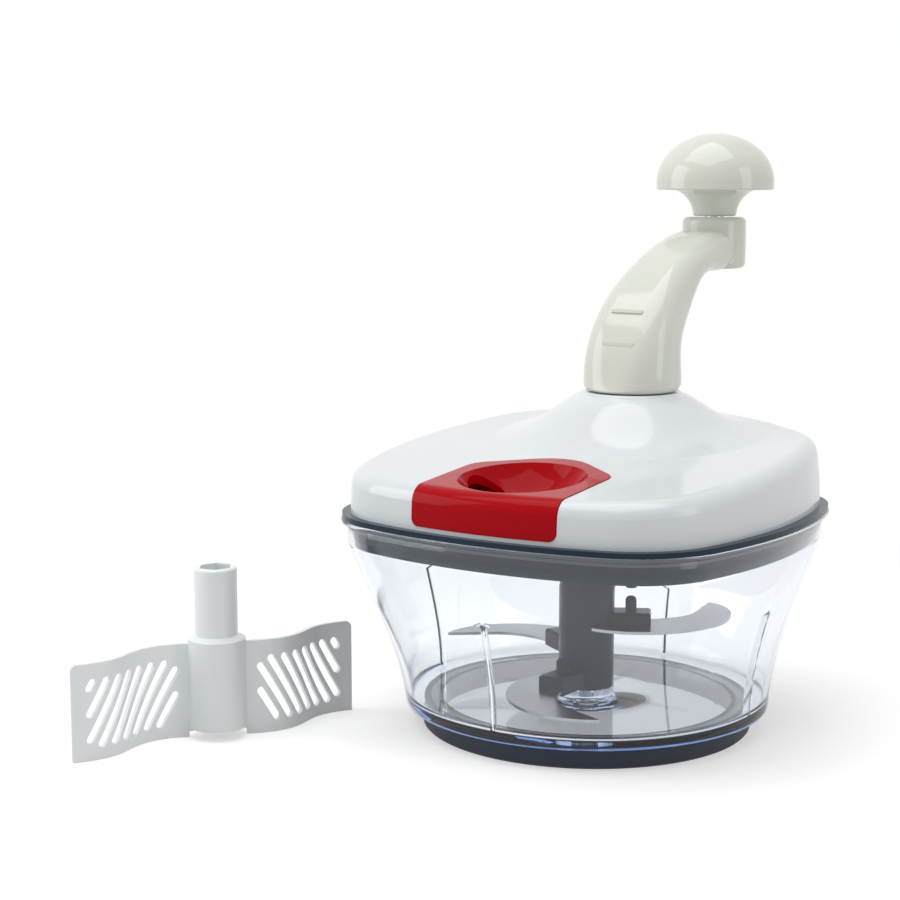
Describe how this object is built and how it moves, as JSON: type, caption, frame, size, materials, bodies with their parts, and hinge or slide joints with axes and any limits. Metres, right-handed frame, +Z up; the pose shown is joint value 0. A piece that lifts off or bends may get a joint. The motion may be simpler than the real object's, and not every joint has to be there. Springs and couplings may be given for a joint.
{
  "type": "crank food chopper",
  "caption": "Hand cranked food chopper: clear bowl, geared lid with swan-necked crank and palm knob, lift-out filler funnel, three-blade insert and a loose slotted mixing paddle.",
  "frame": {"origin": "centre of the bowl on the surface that it stands on, on the axis of the centre pin and the blades", "axes": "+Z up along the blade axis; -Y towards the filler funnel's side of the lid; +Y towards the crank's arm and knob at rest; +X to the right seen from the funnel's side"},
  "size_m": [0.2225, 0.2942, 0.2372],
  "materials": {
    "clear_plastic": "clear, polished",
    "white_plastic": "gloss",
    "cream_plastic": "gloss",
    "red_plastic": "gloss",
    "slate_plastic": "satin",
    "pale_plastic": "satin",
    "gear_plastic": "natural, satin",
    "bush_plastic": "satin",
    "seal_rubber": "soft",
    "foot_rubber": "matte",
    "blade_steel": "brushed",
    "shaft_steel": "turned"
  },
  "bodies": {
    "base": {"bowl": "clear_plastic", "non_slip_ring": "foot_rubber", "centre_pin": "shaft_steel"},
    "lid": {"lid_base": "slate_plastic", "lid_seal": "seal_rubber", "lid_cover": "white_plastic", "lid_screws": "shaft_steel", "crank_bush": "bush_plastic", "drive_bush": "bush_plastic", "top_bush": "bush_plastic"},
    "crank": {"crank_arm": "cream_plastic", "crank_spindle": "shaft_steel", "crank_gear": "gear_plastic", "gear_washer": "shaft_steel", "gear_screw": "shaft_steel", "knob_pin": "shaft_steel", "knob_clip": "shaft_steel"},
    "knob": {"knob_neck": "cream_plastic", "knob_cap": "cream_plastic", "knob_bush": "bush_plastic"},
    "drive": {"drive_shaft": "shaft_steel", "pinion_gear": "gear_plastic"},
    "blades": {"blade_shaft": "slate_plastic", "shaft_bush": "bush_plastic", "blade_pegs": "slate_plastic", "blade_lower": "blade_steel", "blade_middle": "blade_steel", "blade_upper": "blade_steel"},
    "funnel": {"filler_funnel": "red_plastic"},
    "paddle": {"mixing_paddle": "pale_plastic"}
  },
  "joints": [
    {"name": "lid_lift", "type": "slide", "parent": "base", "child": "lid", "axis": [0, 0, 1], "range_m": [0, 0.12]},
    {"name": "crank_turn", "type": "hinge", "parent": "lid", "child": "crank", "pos_m": [0, 0.036, 0.12], "axis": [0, 0, 1], "continuous": true},
    {"name": "knob_spin", "type": "hinge", "parent": "crank", "child": "knob", "pos_m": [0, 0.111, 0.21], "axis": [0, 0, 1], "continuous": true},
    {"name": "drive_spin", "type": "hinge", "parent": "lid", "child": "drive", "pos_m": [0, 0, 0.1], "axis": [0, 0, 1], "continuous": true},
    {"name": "blade_spin", "type": "hinge", "parent": "base", "child": "blades", "pos_m": [0, 0, 0.05], "axis": [0, 0, 1], "continuous": true},
    {"name": "funnel_lift", "type": "slide", "parent": "lid", "child": "funnel", "axis": [0, 0, 1], "range_m": [0, 0.05]},
    {"name": "paddle_lift", "type": "slide", "parent": "base", "child": "paddle", "axis": [0, 0, 1], "range_m": [0, 0.1]}
  ],
  "couplings": [
    {"joint": "drive_spin", "follows": "crank_turn", "ratio": -3},
    {"joint": "blade_spin", "follows": "crank_turn", "ratio": -3}
  ]
}
